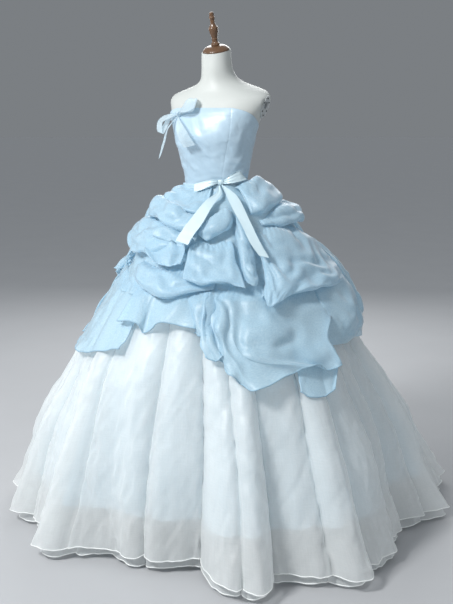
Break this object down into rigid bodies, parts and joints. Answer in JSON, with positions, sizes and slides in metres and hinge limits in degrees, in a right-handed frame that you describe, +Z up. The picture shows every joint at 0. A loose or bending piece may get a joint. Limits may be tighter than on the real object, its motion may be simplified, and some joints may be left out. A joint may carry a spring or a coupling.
{
  "type": "strapless ball gown on a dress form",
  "caption": "Strapless floor-length ball gown with a picked-up organza overskirt, sheer skirts over a shorter lining and ribbon bows, standing on a limbless dress form.",
  "frame": {"origin": "centre of the stand base's underside, on the floor under the pole", "axes": "+Z up; the gown faces -Y; +X is the wearer's left"},
  "size_m": [1.5854, 1.6316, 1.7881],
  "materials": {
    "form_white": "smooth, slightly satin",
    "stand_white": "smooth paint",
    "wood": "turned and varnished",
    "plate_metal": "satin",
    "satin_blue": "satin weave",
    "satin_lining": "satin weave",
    "organza_white": "sheer organza",
    "organza_blue": "sheer organza",
    "ribbon_pale": "satin ribbon",
    "ribbon_sheer": "sheer ribbon"
  },
  "bodies": {
    "root": {"form_torso": "form_white", "armhole_plate_left": "plate_metal", "armhole_plate_right": "plate_metal", "form_neck_cap": "wood", "form_finial": "wood", "stand_base": "stand_white", "stand_pole": "stand_white", "bodice_front": "satin_blue", "bodice_side_front_left": "satin_blue", "bodice_side_front_right": "satin_blue", "bodice_side_back_left": "satin_blue", "bodice_side_back_right": "satin_blue", "bodice_back_left": "satin_blue", "bodice_back_right": "satin_blue", "lining_skirt_1": "satin_lining", "lining_skirt_2": "satin_lining", "lining_skirt_3": "satin_lining", "lining_skirt_4": "satin_lining", "inner_skirt_1": "organza_white", "inner_skirt_2": "organza_white", "inner_skirt_3": "organza_white", "inner_skirt_4": "organza_white", "outer_skirt_1": "organza_white", "outer_skirt_2": "organza_white", "outer_skirt_3": "organza_white", "outer_skirt_4": "organza_white", "overskirt_base_left": "organza_blue", "overskirt_base_right": "organza_blue", "waist_gather": "organza_blue", "billow_left_top": "organza_blue", "billow_left_ear": "organza_blue", "petal_left": "organza_blue", "swag_left": "organza_blue", "swag_centre": "organza_blue", "loop_centre": "organza_blue", "fold_centre": "organza_blue", "swag_right": "organza_blue", "billow_right_top": "organza_blue", "billow_right_ear": "organza_blue", "billow_right_low": "organza_blue", "drape_right": "organza_blue", "flare_right": "organza_blue", "flounce_left": "organza_blue", "panel_left": "organza_blue", "swag_back_right_top": "organza_blue", "swag_back_left_top": "organza_blue", "swag_back_right_low": "organza_blue", "swag_back_left_low": "organza_blue", "panel_back": "organza_blue", "rosette": "organza_blue", "bow_knot": "ribbon_pale", "bow_loop_left": "ribbon_pale", "bow_loop_right": "ribbon_pale", "bow_tail_left": "ribbon_pale", "bow_tail_right": "ribbon_pale", "sheer_knot": "ribbon_sheer", "sheer_loop_up": "ribbon_sheer", "sheer_loop_side": "ribbon_sheer", "sheer_tail_left": "ribbon_sheer", "sheer_tail_right": "ribbon_sheer"}
  },
  "joints": []
}
